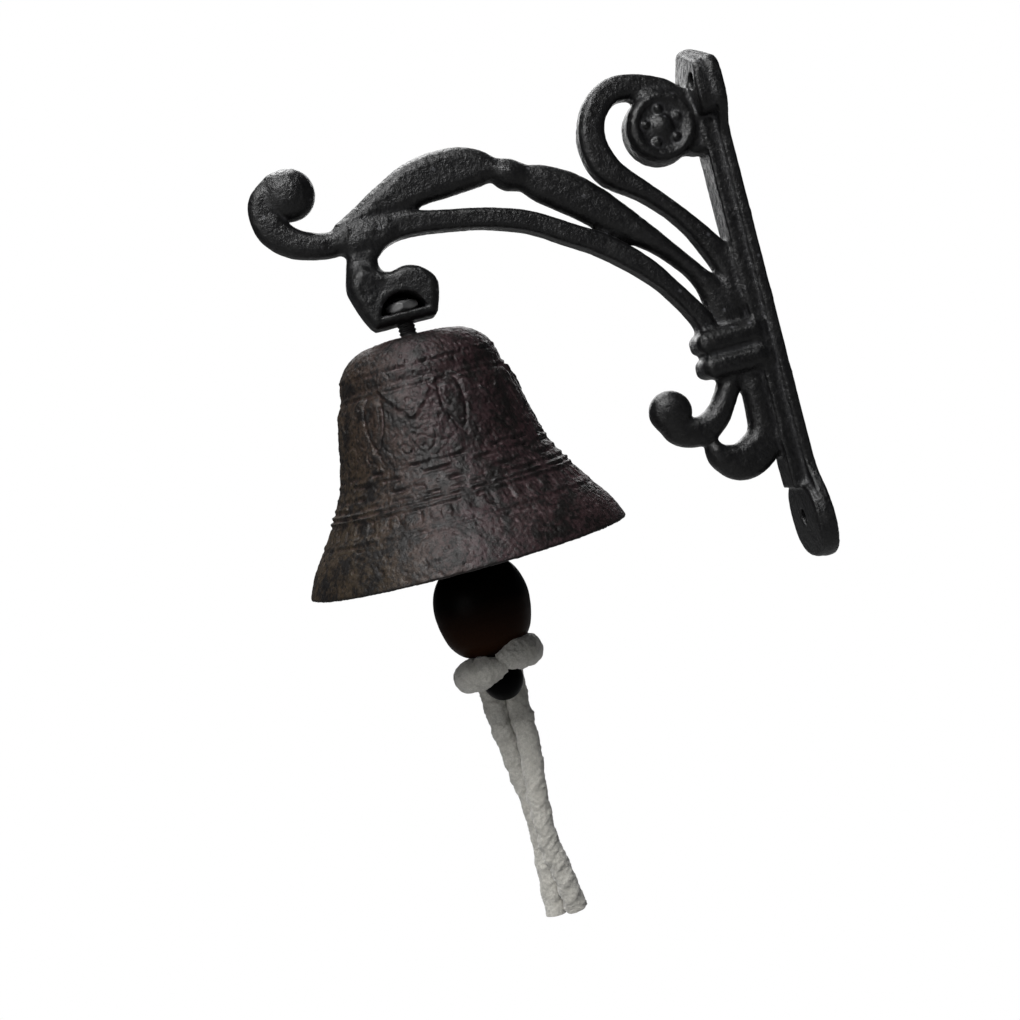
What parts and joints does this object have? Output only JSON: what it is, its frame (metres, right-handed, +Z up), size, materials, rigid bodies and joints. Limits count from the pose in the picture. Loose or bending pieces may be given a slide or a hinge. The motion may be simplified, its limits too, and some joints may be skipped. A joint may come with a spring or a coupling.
{
  "type": "wall mounted bell",
  "caption": "Cast-iron bell hung on a scrolled wall bracket, with a swinging clapper and a short cotton pull rope.",
  "frame": {"origin": "middle of the wall plate's back, half way up it and level with its centre line", "axes": "-Y out from the wall along the bell's arm, +Z up, +X to the side; the wall is the plane Y = 0"},
  "size_m": [0.091, 0.1485, 0.2335],
  "materials": {
    "bracket_iron": "satin black cast iron",
    "bell_iron": "brown, pitted and lightly rusted cast iron",
    "clapper_iron": "smooth near-black iron",
    "dark_steel": "dull dark steel",
    "cotton_rope": "weathered off-white cotton"
  },
  "bodies": {
    "bracket": {"wall_plate": "bracket_iron", "upper_scroll": "bracket_iron", "scroll_rosette": "bracket_iron", "main_arm": "bracket_iron", "arm_bead": "bracket_iron", "lower_arc": "bracket_iron", "front_curl": "bracket_iron", "bell_boss": "bracket_iron", "collar_band": "bracket_iron", "lower_scroll_front": "bracket_iron", "lower_scroll_back": "bracket_iron"},
    "hanger": {"eye_bolt": "dark_steel", "boss_nut": "dark_steel", "crown_washer": "dark_steel", "crown_nut": "dark_steel", "bell_shell": "bell_iron"},
    "link": {"clapper_link": "dark_steel"},
    "clapper": {"clapper_rod": "dark_steel", "clapper_bob": "clapper_iron", "rope_hitch": "cotton_rope", "rope_tail_front": "cotton_rope", "rope_tail_back": "cotton_rope"}
  },
  "joints": [
    {"name": "bell_turn", "type": "hinge", "parent": "bracket", "child": "hanger", "pos_m": [0, -0.103, 0.016], "axis": [0, 0, 1], "continuous": true},
    {"name": "clapper_sway", "type": "hinge", "parent": "hanger", "child": "link", "pos_m": [0, -0.103, -0.0015], "axis": [0, 1, 0], "range_deg": [-3, 3]},
    {"name": "clapper_swing", "type": "hinge", "parent": "link", "child": "clapper", "pos_m": [0, -0.103, -0.007], "axis": [1, 0, 0], "range_deg": [-31.6, 31.6]}
  ]
}
